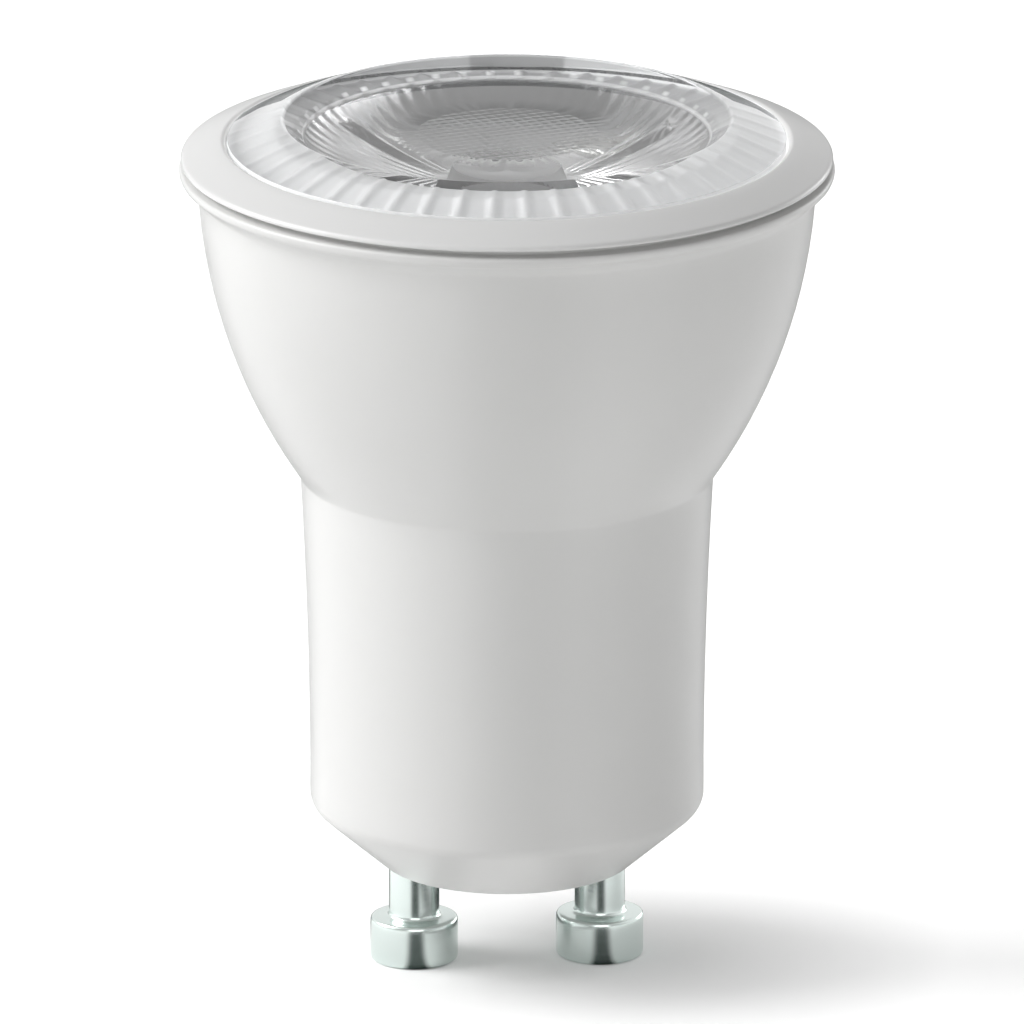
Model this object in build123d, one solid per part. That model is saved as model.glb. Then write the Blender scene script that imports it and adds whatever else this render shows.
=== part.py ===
from build123d import *
import os
from math import copysign, radians, sqrt, tan

# LED spot bulb with a 35 mm rim and a two-pin twist-lock base.
# Sizes are in millimetres. Z is the lamp's axis, and z = 0 is the lower end of its pins.

# Contact pins
pin_spacing = 10.0
pin_head_d = 4.7
pin_head_h = 2.4
pin_head_round = 0.3
pin_stem_d = 2.7
pin_standout = 5.55
pin_collar_d = 3.8
pin_collar_h = 0.5
pin_bore_depth = 2.0
pin_fit = 0.05

# Housing, outside
base_face_d = 13.4
base_edge_round = 0.25
base_cone_angle = 40.8
neck_foot_d = 21.1
neck_foot_round = 1.1
neck_top_d = 22.1
neck_rise = 21.65
neck_hollow = 0.14
bowl_rise = 15.8
bowl_swell = 1.17
rim_d = 35.0
rim_rise = 1.5
rim_flare = 0.6
rim_bead = 0.45
rim_lip = 1.02

# Housing, inside
wall = 1.5
floor_t = 2.0
boss_d = 5.2
boss_h = 1.0
guide_h = 13.0
guide_wall = 0.9
slot_depth = 0.8
slot_fit = 0.1
rim_recess = 0.9
rim_wall = 1.2

# Bezel ring
bezel_h = 1.3
bezel_edge_h = 0.34
bezel_gap = 0.1
bezel_inset = 0.1
bezel_edge_round = 0.24
bezel_lip_round = 0.3
bezel_face_w = 2.5
bezel_fit = 0.1
skirt_wall = 0.65

# Heat sink cup
cup_sheet = 0.6
cup_fit = 0.1
cup_corner = 0.8

# Lens
lens_fit = 0.1
lens_flange_t = 0.9
lens_depth = 9.6
lens_foot_gap = 0.2
ring_drop = 0.05
ring_rise = 1.18
ring_seat = 0.3
ring_w = 2.9
crest_round = 0.3
bevel_w = 1.1
face_drop = 0.93
collimator_foot_d = 8.6
collimator_swell = 1.05
collimator_lip = 0.1
cavity_d = 6.6
cavity_top_d = 5.8
cavity_h = 4.4
cavity_bulge = 0.8
fin_count = 3
fin_turn = 24
fin_w = 1.1
fin_reach = 5.1
rib_count = 46
rib_groove_w = 0.9
rib_groove_h = 0.22
rib_end = 0.1
gate_cut = 0.25
gate_turn = -7
disc_d = 9.8
disc_pitch = 0.55
disc_groove = 0.06
disc_turn = 20

# Light source
pad_t = 0.3
led_board_t = 1.0
led_board_gap = 0.9
led_w = 3.5
led_h = 0.6
led_chamfer = 0.15
dome_d = 3.0
dome_h = 0.9
screw_d = 1.9
screw_head_d = 3.4
screw_head_h = 0.9
screw_tail = 0.6
screw_slot = 0.45
screw_gap = 3.7
screw_turn = 54
screw_fit = 0.1

# Driver board
board_t = 1.0
board_y = -2.2
board_lift = 3.0
board_side_gap = 0.4
board_edge = 0.5
row_gap = 0.6
mid_gap = 1.5
part_gap = 0.3
leg_d = 0.5
leg_drop = 1.0
leg_tail = 0.6
leg_fit = 0.1
back_gap = 1.2

# Parts on the driver board
bulk_d = 6.3
bulk_len = 11.0
bulk_pitch = 2.5
output_d = 5.0
output_len = 6.5
output_pitch = 2.0
can_edge = 0.4
can_crimp = 1.4
can_groove = 0.3
choke_d = 5.6
choke_h = 6.0
choke_flange = 0.8
choke_neck_d = 2.6
choke_pitch = 3.6
winding_gap = 0.3
winding_fit = 0.05
fuse_d = 2.2
fuse_len = 4.5
fuse_edge = 0.4
fuse_reach = 0.7
bridge_w = 4.7
bridge_len = 3.9
bridge_h = 2.4
bridge_pitch = 2.5
chip_w = 4.9
chip_len = 3.9
chip_h = 1.5
chip_pitch = 1.0
chip_rows = 4
diode_w = 4.3
diode_len = 2.6
diode_h = 2.2
smd_reach = 0.7
smd_stand = 0.1
smd_leg_w = 0.5
smd_leg_t = 0.2
small_w = 1.25
small_len = 2.0
resistor_h = 0.5
resistor_pitch = 2.4
resistor_count = 5
capacitor_h = 0.9
capacitor_pitch = 3.2
capacitor_count = 3

# Leads
lead_d = 0.9
lead_bend = 1.0
lead_tail = 3.0
lead_rise = 1.2
lead_inset = 1.6
lead_hole_d = 1.8
lead_pad_gap = 2.3
lead_run = 1.6
lead_lift = 0.1
lead_under = 0.8

# Heights that the sizes above give
base_z = pin_standout
floor_z = base_z + floor_t
boss_top_z = floor_z + boss_h
cone_slope = tan(radians(base_cone_angle))
cone_top_z = base_z + (neck_foot_d - base_face_d) / 2 * cone_slope
bowl_foot_z = base_z + neck_rise
bowl_top_z = bowl_foot_z + bowl_rise
parting_z = bowl_top_z + rim_rise
ledge_z = parting_z - rim_recess
lens_seat_z = ledge_z + cup_sheet
lens_foot_z = lens_seat_z - lens_depth
flange_top_z = lens_seat_z + lens_flange_t
bezel_top_z = parting_z + bezel_h
ring_foot_z = bezel_top_z - ring_drop
crest_z = ring_foot_z + ring_rise
face_z = crest_z - face_drop
led_top_z = lens_foot_z - lens_foot_gap
pad_top_z = led_top_z - led_board_t
cup_floor_z = pad_top_z - pad_t
cup_under_z = cup_floor_z - cup_sheet

# Rows of parts up the driver board
board_low_z = floor_z + board_lift
first_row_z = board_low_z + lead_tail + row_gap
choke_z = first_row_z + choke_d / 2
output_leg_z = choke_z + choke_d / 2 + row_gap
bridge_z = first_row_z + back_gap + bridge_len / 2
diode_z = bridge_z + bridge_len / 2 + back_gap + diode_len / 2
chip_z = output_leg_z + back_gap + chip_len / 2
resistor_z = chip_z + chip_len / 2 + back_gap + small_len / 2
board_top_z = resistor_z + small_len / 2 + board_edge
fuse_z = board_low_z + board_edge + fuse_d / 2

# Radii and places across the axis
rim_r = rim_d / 2
neck_in_r = neck_foot_d / 2 - wall
bowl_top_r = rim_r - rim_lip
recess_r = rim_r - rim_wall
skirt_r = recess_r - bezel_fit
skirt_in_r = skirt_r - skirt_wall
flange_r = skirt_in_r - lens_fit
bezel_bore_r = rim_r - bezel_face_w
ring_r = bezel_bore_r - lens_fit
crest_r = ring_r - ring_w
face_r = crest_r - bevel_w
cone_top_r = face_r + collimator_lip
seat_r = ring_r - ring_seat
ring_slope = ring_rise / ring_w
foot_r = collimator_foot_d / 2
screw_r = foot_r + screw_gap
lead_end_r = foot_r + lead_pad_gap
lead_hole_r = lead_end_r + lead_run
board_front_y = board_y + board_t / 2
board_back_y = board_y - board_t / 2
slot_reach_y = abs(board_y) + board_t / 2 + slot_fit
board_half_w = sqrt(neck_in_r**2 - slot_reach_y**2) - board_side_gap
bulk_x = -(mid_gap + bulk_d) / 2
choke_x = (mid_gap + choke_d) / 2
output_x = (mid_gap + output_d) / 2
fuse_leg_x = fuse_len / 2 + fuse_reach
upright = (Align.CENTER, Align.CENTER, Align.MIN)


def at(radius, height):
    """A point of a turned outline."""
    return Vector(radius, 0, height)


def bowed(start, end, swell):
    """An arc between two outline points that stands out from its chord by the swell."""
    chord = end - start
    outward = Vector(chord.Z, 0, -chord.X).normalized()
    return ThreePointArc(start, (start + end) / 2 + outward * swell, end)


def cap(radius, edge_z, axis_z):
    """The arc of a spherical cap, from its edge to its middle on the axis."""
    rise = axis_z - edge_z
    sphere = (radius**2 + rise**2) / (2 * rise)
    half_way = copysign(sqrt(sphere**2 - radius**2 / 4), rise)
    middle = at(radius / 2, axis_z - sphere + half_way)
    return ThreePointArc(at(radius, edge_z), middle, at(0, axis_z))


def turned(*runs, rounds=()):
    """Turn a closed outline about the axis, with the given corners rounded first."""
    face = make_face([edge for run in runs for edge in run.edges()])
    for corner, radius in rounds:
        face = fillet(face.vertices().sort_by_distance(corner)[0], radius)
    return revolve(face, Axis.Z)


def tube(diameter, points, bend):
    """A round lead or leg along straight runs joined by arcs of one radius."""
    path = FilletPolyline(*points, radius=bend)
    return sweep(Plane(path @ 0, z_dir=path % 0) * Circle(diameter / 2), path)


def prism(plane, points, length):
    """A straight bar with its section drawn on a plane, along that plane's normal."""
    section = make_face(Polyline(*points, close=True).edges())
    return extrude(plane * section, length, dir=plane.z_dir)


def across(diameter, y, length, x, z):
    """A cylinder along Y, from a depth y towards +Y."""
    start = Plane((x, y, z), x_dir=(1, 0, 0), z_dir=(0, 1, 0))
    return start * Cylinder(diameter / 2, length, align=upright)


bowl_arc = bowed(at(neck_top_d / 2, bowl_foot_z), at(bowl_top_r, bowl_top_z), bowl_swell)


def bowl_r(height, inset=0.0):
    """The radius of the bowl's arc at a height, less an inset."""
    centre = bowl_arc.arc_center
    return centre.X + sqrt(bowl_arc.radius**2 - (height - centre.Z) ** 2) - inset


def bowl_run(low_z, high_z, inset):
    """The bowl's arc between two heights, moved inwards by an inset."""
    mid_z = (low_z + high_z) / 2
    low = at(bowl_r(low_z, inset), low_z)
    high = at(bowl_r(high_z, inset), high_z)
    return ThreePointArc(low, at(bowl_r(mid_z, inset), mid_z), high)


def pin_places():
    """The axes of the two contact pins."""
    return [(-pin_spacing / 2, 0), (pin_spacing / 2, 0)]


def housing():
    """One moulding: bowl, neck, base cone and rim, with pin bosses and board guides inside."""
    base_edge = at(base_face_d / 2, base_z)
    neck_foot = at(neck_foot_d / 2, cone_top_z)
    bowl_foot = at(neck_top_d / 2, bowl_foot_z)
    bowl_top = at(bowl_top_r, bowl_top_z)
    rim_low = at(rim_r - rim_bead, bowl_top_z + rim_flare)
    rim_top = at(rim_r - rim_bead, parting_z)
    shell = turned(
        Polyline(at(0, base_z), base_edge, neck_foot),
        bowed(neck_foot, bowl_foot, -neck_hollow),
        bowl_arc,
        Line(bowl_top, rim_low),
        bowed(rim_low, rim_top, rim_bead),
        Polyline(rim_top, at(0, parting_z), at(0, base_z)),
        rounds=[(base_edge, base_edge_round), (neck_foot, neck_foot_round)],
    )
    cone_foot = at(base_face_d / 2 + floor_t / cone_slope - wall, floor_z)
    neck_in_foot = at(neck_in_r, cone_top_z)
    neck_in_top = at(neck_top_d / 2 - wall, bowl_foot_z)
    hollow = turned(
        Polyline(at(0, floor_z), cone_foot, neck_in_foot),
        bowed(neck_in_foot, neck_in_top, -neck_hollow),
        bowl_run(bowl_foot_z, ledge_z, wall),
        Polyline(at(bowl_r(ledge_z, wall), ledge_z), at(0, ledge_z), at(0, floor_z)),
    )
    recess = Pos(Z=ledge_z) * Cylinder(recess_r, rim_recess, align=upright)
    guide_w = board_t + 2 * (slot_fit + guide_wall)
    guide_top_h = board_low_z + guide_h - floor_z
    guides = Pos(0, board_y, floor_z) * Box(neck_top_d, guide_w, guide_top_h, align=upright)
    between_w = 2 * (board_half_w - slot_depth)
    guides -= Pos(0, board_y, floor_z) * Box(between_w, guide_w, guide_top_h, align=upright)
    slot_w = 2 * (board_half_w + slot_fit)
    slot_t = board_t + 2 * slot_fit
    guides -= Pos(0, board_y, board_low_z) * Box(slot_w, slot_t, guide_h, align=upright)
    body = shell - hollow - recess + (guides & shell)
    for x, y in pin_places():
        body += Pos(x, y, floor_z) * Cylinder(boss_d / 2, boss_h, align=upright)
    for x, y in pin_places():
        body -= Pos(x, y, base_z) * Cylinder(pin_stem_d / 2 + pin_fit, boss_top_z - base_z, align=upright)
    return body


def contact_pin(x, y):
    """A turned pin: bayonet head, stem, peened collar on the boss and a bore for its lead."""
    head_r = pin_head_d / 2
    stem_r = pin_stem_d / 2
    collar_r = pin_collar_d / 2
    bore_r = lead_d / 2 + pin_fit
    top_z = boss_top_z + pin_collar_h
    pin = turned(
        Polyline(
            at(0, 0),
            at(head_r, 0),
            at(head_r, pin_head_h),
            at(stem_r, pin_head_h),
            at(stem_r, boss_top_z),
            at(collar_r, boss_top_z),
            at(collar_r, top_z),
            at(bore_r, top_z),
            at(bore_r, top_z - pin_bore_depth),
            at(0, top_z - pin_bore_depth),
            at(0, 0),
        ),
        rounds=[(at(head_r, 0), pin_head_round), (at(head_r, pin_head_h), pin_head_round / 2)],
    )
    return Pos(x, y, 0) * pin


def mains_lead(x, y):
    """A lead from the bore of a pin up to the driver board's front face."""
    face_y = board_front_y + lead_d / 2
    leave_z = boss_top_z + pin_collar_h + lead_rise
    points = [
        (x, y, boss_top_z + pin_collar_h - pin_bore_depth),
        (x, y, leave_z),
        (x, face_y, leave_z + abs(y - face_y)),
        (x, face_y, board_low_z + lead_tail),
    ]
    return tube(lead_d, points, lead_bend)


def bezel_ring():
    """The ring that closes the rim: a cone outside, a lip over the lens and a skirt in the recess."""
    edge = at(rim_r - bezel_inset, parting_z + bezel_edge_h)
    lip = at(bezel_bore_r, bezel_top_z)
    skirt_low_z = ledge_z + bezel_fit
    return turned(
        Polyline(
            at(skirt_in_r, skirt_low_z),
            at(skirt_r, skirt_low_z),
            at(skirt_r, parting_z),
            at(rim_r - rim_bead, parting_z),
            at(rim_r - bezel_inset, parting_z + bezel_gap),
            edge,
            lip,
            at(bezel_bore_r, flange_top_z),
            at(skirt_in_r, flange_top_z),
            at(skirt_in_r, skirt_low_z),
        ),
        rounds=[(edge, bezel_edge_round), (lip, bezel_lip_round)],
    )


def cup_r(height):
    """The outside radius of the heat sink cup at a height."""
    return bowl_r(height, wall + cup_fit)


def heat_sink_cup():
    """A drawn cup that lines the bowl, with a flange on the housing's ledge."""
    outer_foot = at(cup_r(cup_under_z), cup_under_z)
    inner_foot = at(cup_r(cup_floor_z) - cup_sheet, cup_floor_z)
    inner_top = at(cup_r(lens_seat_z) - cup_sheet, lens_seat_z)
    cup = turned(
        Line(at(0, cup_under_z), outer_foot),
        bowl_run(cup_under_z, ledge_z, wall + cup_fit),
        Polyline(at(cup_r(ledge_z), ledge_z), at(flange_r, ledge_z), at(flange_r, lens_seat_z), inner_top),
        bowl_run(cup_floor_z, lens_seat_z, wall + cup_fit + cup_sheet),
        Polyline(inner_foot, at(0, cup_floor_z), at(0, cup_under_z)),
        rounds=[
            (outer_foot, cup_corner + cup_sheet),
            (inner_foot, cup_corner),
            (inner_top, cup_sheet),
        ],
    )
    return cup - board_holes(cup_under_z, cup_sheet, screw_d)


def screw_places():
    """The axes of the two board screws, clear of the lens fins and the leads."""
    place = Vector(screw_r, 0).rotate(Axis.Z, screw_turn)
    return [(place.X, place.Y), (-place.X, -place.Y)]


def board_holes(low_z, height, screw_hole_d):
    """The screw holes and lead holes through a layer of the light source."""
    holes = [
        Pos(x, y, low_z) * Cylinder(screw_hole_d / 2 + screw_fit, height, align=upright)
        for x, y in screw_places()
    ]
    holes += [
        Pos(x, 0, low_z) * Cylinder(lead_hole_d / 2, height, align=upright)
        for x in (-lead_hole_r, lead_hole_r)
    ]
    return holes


def light_layer(low_z, height):
    """A round layer on the cup's floor, with its screw and lead holes."""
    radius = cup_r(cup_floor_z) - cup_sheet - cup_corner - led_board_gap
    disc = Pos(Z=low_z) * Cylinder(radius, height, align=upright)
    return disc - board_holes(low_z, height, screw_d + screw_fit)


def led_package():
    """The square ceramic body of the light source."""
    body = Pos(Z=led_top_z) * Box(led_w, led_w, led_h, align=upright)
    return chamfer(body.faces().sort_by(Axis.Z)[-1].edges(), led_chamfer)


def led_phosphor():
    """The cast dome over the light source."""
    low_z = led_top_z + led_h
    edge = at(dome_d / 2, low_z)
    top_z = low_z + dome_h
    return turned(Polyline(at(0, top_z), at(0, low_z), edge), cap(dome_d / 2, low_z, top_z))


def board_screw(x, y):
    """A cross-slotted screw through the board and its pad into the cup's floor."""
    head = Pos(Z=led_top_z) * Cylinder(screw_head_d / 2, screw_head_h, align=upright)
    head = fillet(head.edges().group_by(Axis.Z)[-1], screw_head_h / 2)
    slot_len = screw_d
    slot_z = led_top_z + screw_head_h - screw_slot
    for turn in (0, 90):
        head -= Pos(Z=slot_z) * Rot(Z=turn) * Box(slot_len, screw_slot, screw_slot, align=upright)
    shank_low_z = cup_under_z - screw_tail
    shank = Pos(Z=shank_low_z) * Cylinder(screw_d / 2, led_top_z - shank_low_z, align=upright)
    return Pos(x, y, 0) * (head + shank)


def ring_under(radius):
    """A point on the sloping underside of the lens ring."""
    return at(radius, lens_seat_z + (seat_r - radius) * ring_slope)


def lens_ribs():
    """The radial grooves under the lens ring and the flat inside it, which show through as ribs."""
    crest = ring_under(crest_r)
    inner = at(cone_top_r + rib_end, crest.Z)
    outer = ring_under(seat_r - rib_end / 2)
    # The section's sides run on past the underside by half the groove's depth.
    below = rib_groove_h / 2
    below_w = rib_groove_w / 2 * (1 + below / rib_groove_h)
    points = [(-below_w, -below), (below_w, -below), (0, rib_groove_h)]
    section = make_face(Polyline(*points, close=True).edges())
    stations = [Plane(end, x_dir=(0, 1, 0), z_dir=(1, 0, 0)) for end in (inner, crest, outer)]
    groove = loft([station * section for station in stations], ruled=True)
    turn = 360 / rib_count
    return [Rot(Z=(index + 0.5) * turn) * groove for index in range(rib_count)]


def lens_fins(cone_top):
    """Upright fins outside the collimator, whose feet stand on the light board."""
    foot = at(foot_r, led_top_z)
    toe = at(foot_r + fin_reach, led_top_z)
    top = cone_top - at(fin_w / 2, 0)
    fin = extrude(make_face(Polyline(foot, toe, top, foot)), fin_w / 2, dir=(0, 1, 0), both=True)
    return [Rot(Z=fin_turn + index * 360 / fin_count) * fin for index in range(fin_count)]


def gate_flat():
    """What is trimmed off the lens flange at the back, where its moulding gate was."""
    off = Box(2 * flange_r, gate_cut, lens_flange_t, align=(Align.CENTER, Align.MIN, Align.MIN))
    return Rot(Z=gate_turn) * Pos(0, flange_r - gate_cut, lens_seat_z) * off


def disc_grooves():
    """Two crossing sets of fine grooves that part the middle disc into square pillows."""
    count = int(disc_d / 2 / disc_pitch)
    start = Plane((0, -disc_d / 2, face_z), x_dir=(1, 0, 0), z_dir=(0, 1, 0))
    groove = prism(start, [(-disc_groove, 0), (disc_groove, 0), (0, disc_groove)], disc_d)
    grooves = [
        Rot(Z=turn) * Pos(X=index * disc_pitch) * groove
        for turn in (disc_turn, disc_turn + 90)
        for index in range(-count, count + 1)
    ]
    disc = Pos(Z=face_z - disc_groove) * Cylinder(disc_d / 2, disc_groove, align=upright)
    return [disc & groove for groove in grooves]


def lens():
    """The clear collimator: flange, ribbed ring with its crest, flat face, cone and light cavity."""
    crest = at(crest_r, crest_z)
    under_crest = ring_under(crest_r)
    cone_foot = at(foot_r, lens_foot_z)
    cone_top = at(cone_top_r, under_crest.Z)
    cavity_z = lens_foot_z + cavity_h
    body = turned(
        Polyline(
            cone_top,
            under_crest,
            at(seat_r, lens_seat_z),
            at(flange_r, lens_seat_z),
            at(flange_r, flange_top_z),
            at(ring_r, flange_top_z),
            at(ring_r, ring_foot_z),
            crest,
            at(face_r, face_z),
            at(0, face_z),
            at(0, cavity_z - cavity_bulge),
        ),
        cap(cavity_top_d / 2, cavity_z, cavity_z - cavity_bulge),
        Polyline(at(cavity_top_d / 2, cavity_z), at(cavity_d / 2, lens_foot_z), cone_foot),
        bowed(cone_foot, cone_top, collimator_swell),
        rounds=[(crest, crest_round)],
    )
    return body + lens_fins(cone_top) - lens_ribs() - gate_flat() - disc_grooves()


def leg_hole(x, z):
    """A drilled hole through the driver board for a leg."""
    return across(leg_d + 2 * leg_fit, board_back_y, board_t, x, z)


def leg_places():
    """Where legs pass through the driver board, as x and z."""
    bulk = [(bulk_x + side * bulk_pitch / 2, first_row_z) for side in (-1, 1)]
    output = [(output_x + side * output_pitch / 2, output_leg_z) for side in (-1, 1)]
    choke = [(choke_x + side * choke_pitch / 2, choke_z) for side in (-1, 1)]
    fuse = [(side * fuse_leg_x, fuse_z) for side in (-1, 1)]
    return bulk + output + choke + fuse


def driver_board():
    """The upright board, held by its sides in the housing's guides."""
    height = board_top_z - board_low_z
    board = Pos(0, board_y, board_low_z) * Box(2 * board_half_w, board_t, height, align=upright)
    return board - [leg_hole(x, z) for x, z in leg_places()]


def can_capacitor(x, leg_z, diameter, length, pitch):
    """An electrolytic can that lies along the board, with two legs bent through it."""
    y = board_front_y + part_gap + diameter / 2
    low_z = leg_z + leg_drop
    can_r = diameter / 2
    can = turned(
        Polyline(
            at(0, 0),
            at(can_r - can_edge, 0),
            at(can_r, can_edge),
            at(can_r, can_crimp - can_groove),
            at(can_r - can_groove, can_crimp),
            at(can_r, can_crimp + can_groove),
            at(can_r, length - can_edge),
            at(can_r - can_edge, length),
            at(0, length),
            at(0, 0),
        )
    )
    body = Pos(x, y, low_z) * can
    for side in (-1, 1):
        leg_x = x + side * pitch / 2
        points = [(leg_x, y, low_z + can_edge), (leg_x, y, leg_z), (leg_x, board_back_y - leg_tail, leg_z)]
        body += tube(leg_d, points, leg_d)
    return body


def choke_core():
    """A ferrite spool that stands on the board, with its two legs."""
    low_y = board_front_y + part_gap
    core = across(choke_neck_d, low_y, choke_h, choke_x, choke_z)
    core += across(choke_d, low_y, choke_flange, choke_x, choke_z)
    core += across(choke_d, low_y + choke_h - choke_flange, choke_flange, choke_x, choke_z)
    leg_y = board_back_y - leg_tail
    for side in (-1, 1):
        leg_x = choke_x + side * choke_pitch / 2
        core += across(leg_d, leg_y, low_y + choke_flange / 2 - leg_y, leg_x, choke_z)
    return core


def choke_winding():
    """The wound wire between the spool's flanges."""
    low_y = board_front_y + part_gap + choke_flange + winding_fit
    length = choke_h - 2 * (choke_flange + winding_fit)
    coil = across(choke_d - 2 * winding_gap, low_y, length, choke_x, choke_z)
    return coil - across(choke_neck_d + 2 * winding_fit, low_y, length, choke_x, choke_z)


def fuse_resistor():
    """An axial resistor that lies across the board's foot, with bent legs."""
    y = board_front_y + part_gap + fuse_d / 2
    body = Plane((0, y, fuse_z), z_dir=(1, 0, 0)) * Cylinder(fuse_d / 2, fuse_len)
    body = chamfer(body.edges().filter_by(GeomType.CIRCLE), fuse_edge)
    for side in (-1, 1):
        points = [
            (side * (fuse_len / 2 - fuse_edge), y, fuse_z),
            (side * fuse_leg_x, y, fuse_z),
            (side * fuse_leg_x, board_back_y - leg_tail, fuse_z),
        ]
        body += tube(leg_d, points, leg_d)
    return body


def flat_package(x, z, width, length, height, leg_zs):
    """A moulded package on the board's back face, with flat legs at both sides."""
    top = Plane((x, board_back_y, z), x_dir=(1, 0, 0), z_dir=(0, -1, 0))
    body = top * Pos(Z=smd_stand) * Box(width - 2 * smd_reach, length, height - smd_stand, align=upright)
    for leg_z in leg_zs:
        body += top * Pos(Y=leg_z) * Box(width, smd_leg_w, smd_leg_t, align=upright)
    return body


def bridge_rectifier():
    """The rectifier, with two legs at each side."""
    rows = [-bridge_pitch / 2, bridge_pitch / 2]
    return flat_package(bulk_x, bridge_z, bridge_w, bridge_len, bridge_h, rows)


def driver_chip():
    """The control chip, with four legs at each side."""
    rows = [(index - (chip_rows - 1) / 2) * chip_pitch for index in range(chip_rows)]
    return flat_package(output_x, chip_z, chip_w, chip_len, chip_h, rows)


def freewheel_diode():
    """The diode, with one broad leg at each side."""
    return flat_package(bulk_x, diode_z, diode_w, diode_len, diode_h, [-smd_leg_w / 2, smd_leg_w / 2])


def small_chip(x, z, height):
    """A small two-ended chip flat on the board's back face."""
    return Pos(x, board_back_y - height / 2, z) * Box(small_w, height, small_len)


def chip_resistors():
    """A row of small resistors along the top of the board."""
    middle = (resistor_count - 1) / 2
    places = [(index - middle) * resistor_pitch for index in range(resistor_count)]
    return Compound([small_chip(x, resistor_z, resistor_h) for x in places])


def chip_capacitors():
    """A column of small capacitors up the middle of the board."""
    places = [bridge_z + index * capacitor_pitch for index in range(capacitor_count)]
    return Compound([small_chip(0, z, capacitor_h) for z in places])


def led_lead(side):
    """A lead from the top of the driver board, through the cup's floor, to the light board."""
    board_x = side * (board_half_w - lead_inset)
    face_y = board_front_y + lead_d / 2
    hole_x = side * lead_hole_r
    over_z = led_top_z + lead_d / 2 + lead_lift
    points = [
        (board_x, face_y, board_top_z - lead_tail),
        (board_x, face_y, board_top_z),
        (hole_x, 0, cup_under_z - lead_under),
        (hole_x, 0, over_z),
        (side * lead_end_r, 0, over_z),
    ]
    return tube(lead_d, points, lead_bend)


left_pin, right_pin = pin_places()
nodes = {
    "housing": housing(),
    "bezel_ring": bezel_ring(),
    "lens": lens(),
    "heat_sink_cup": heat_sink_cup(),
    "thermal_pad": light_layer(cup_floor_z, pad_t),
    "led_board": light_layer(pad_top_z, led_board_t),
    "led_package": led_package(),
    "led_phosphor": led_phosphor(),
    "board_screws": Compound([board_screw(x, y) for x, y in screw_places()]),
    "driver_board": driver_board(),
    "bulk_capacitor": can_capacitor(bulk_x, first_row_z, bulk_d, bulk_len, bulk_pitch),
    "output_capacitor": can_capacitor(output_x, output_leg_z, output_d, output_len, output_pitch),
    "choke_core": choke_core(),
    "choke_winding": choke_winding(),
    "fuse_resistor": fuse_resistor(),
    "bridge_rectifier": bridge_rectifier(),
    "driver_chip": driver_chip(),
    "freewheel_diode": freewheel_diode(),
    "chip_resistors": chip_resistors(),
    "chip_capacitors": chip_capacitors(),
    "contact_pin_left": contact_pin(*left_pin),
    "contact_pin_right": contact_pin(*right_pin),
    "mains_lead_left": mains_lead(*left_pin),
    "mains_lead_right": mains_lead(*right_pin),
    "led_lead_positive": led_lead(-1),
    "led_lead_negative": led_lead(1),
}

os.makedirs("parts", exist_ok=True)
for name, shape in nodes.items():
    export_step(shape, f"parts/{name}.step")
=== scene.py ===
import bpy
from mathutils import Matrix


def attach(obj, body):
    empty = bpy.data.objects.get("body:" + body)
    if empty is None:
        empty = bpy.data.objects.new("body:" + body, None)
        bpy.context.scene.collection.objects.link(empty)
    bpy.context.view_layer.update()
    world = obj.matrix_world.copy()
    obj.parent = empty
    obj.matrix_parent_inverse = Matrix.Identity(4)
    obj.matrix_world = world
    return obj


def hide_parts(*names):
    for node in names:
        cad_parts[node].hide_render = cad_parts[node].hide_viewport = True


bl_info = {
    "name": "LED Spot Bulb",
    "version": (1, 0, 0),
    "blender": (4, 5, 0),
    "location": "View3D > Sidebar > Spot Bulb",
    "description": "Builds a small LED spot bulb with a two-pin base around its packed solids",
    "category": "Add Mesh",
}

import math

import bpy
import numpy as np
from bpy.props import FloatProperty, FloatVectorProperty, IntProperty, PointerProperty
from mathutils import Vector

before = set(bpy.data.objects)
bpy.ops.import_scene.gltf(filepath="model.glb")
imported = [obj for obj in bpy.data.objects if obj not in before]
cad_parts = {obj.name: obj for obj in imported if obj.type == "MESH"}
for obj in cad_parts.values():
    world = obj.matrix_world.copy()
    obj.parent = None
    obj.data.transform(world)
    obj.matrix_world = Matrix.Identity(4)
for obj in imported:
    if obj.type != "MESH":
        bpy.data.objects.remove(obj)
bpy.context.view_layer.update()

MM = 0.001
BODY = "root"
BLACK = (0.0, 0.0, 0.0)
WHITE = (1.0, 1.0, 1.0)
TINNED = (0.7, 0.7, 0.68)

# The lens's finish: its refraction, the frost of its cone and of its cavity, and for its clear dots,
# which are gaps in the painted shade on the crest's slope, how sharply they end, the share of their
# length over which they fade, and how patchy they are.
LENS_IOR = 1.49
CONE_FROST = 0.5
CAVITY_FROST = 0.8
DOT_SHARP = 1.6
DOT_FADE = 0.3
DOT_PATCHY = 3.6
DOT_MISSING = 1.1

# The lens's mesh: the turn between two points of its outline, the points in each run of it, and the
# share of a fin's height that stands on the board.
LENS_TURN = math.radians(14)
DISC_ROWS = 66
UNDER_ROWS = 18
SHELF_ROWS = 8
CONE_ROWS = 26
ROOF_ROWS = 10
TOE_SHARE = 0.02

# Circuit boards: the turn of the glass weave's wave in a metre, and the radius of a via in its cell.
WEAVE_TURN = 9000.0
VIA_RADIUS = 0.13

# The floor's steps outwards and round.
FLOOR_ROWS = 6
FLOOR_SIDES = 64

# Metal and glass see the studio dim between these two reaches of a direction towards the front.
FRONT_FROM = 0.16
FRONT_FULL = 0.96

# Where each lamp hangs, as seen from the bulb's middle, and its width, in metres.
LAMPS = {
    "key": ((-0.9, 0.12, 0.64), 0.8),
    "front": ((0.0, -1.2, 0.12), 0.8),
    "fill": ((0.8, 0.7, 0.12), 0.6),
}


def length(name, default_mm, about):
    """A size in metres whose default is given in millimetres."""
    return FloatProperty(name=name, description=about, default=default_mm * MM, unit="LENGTH", precision=5)


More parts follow.
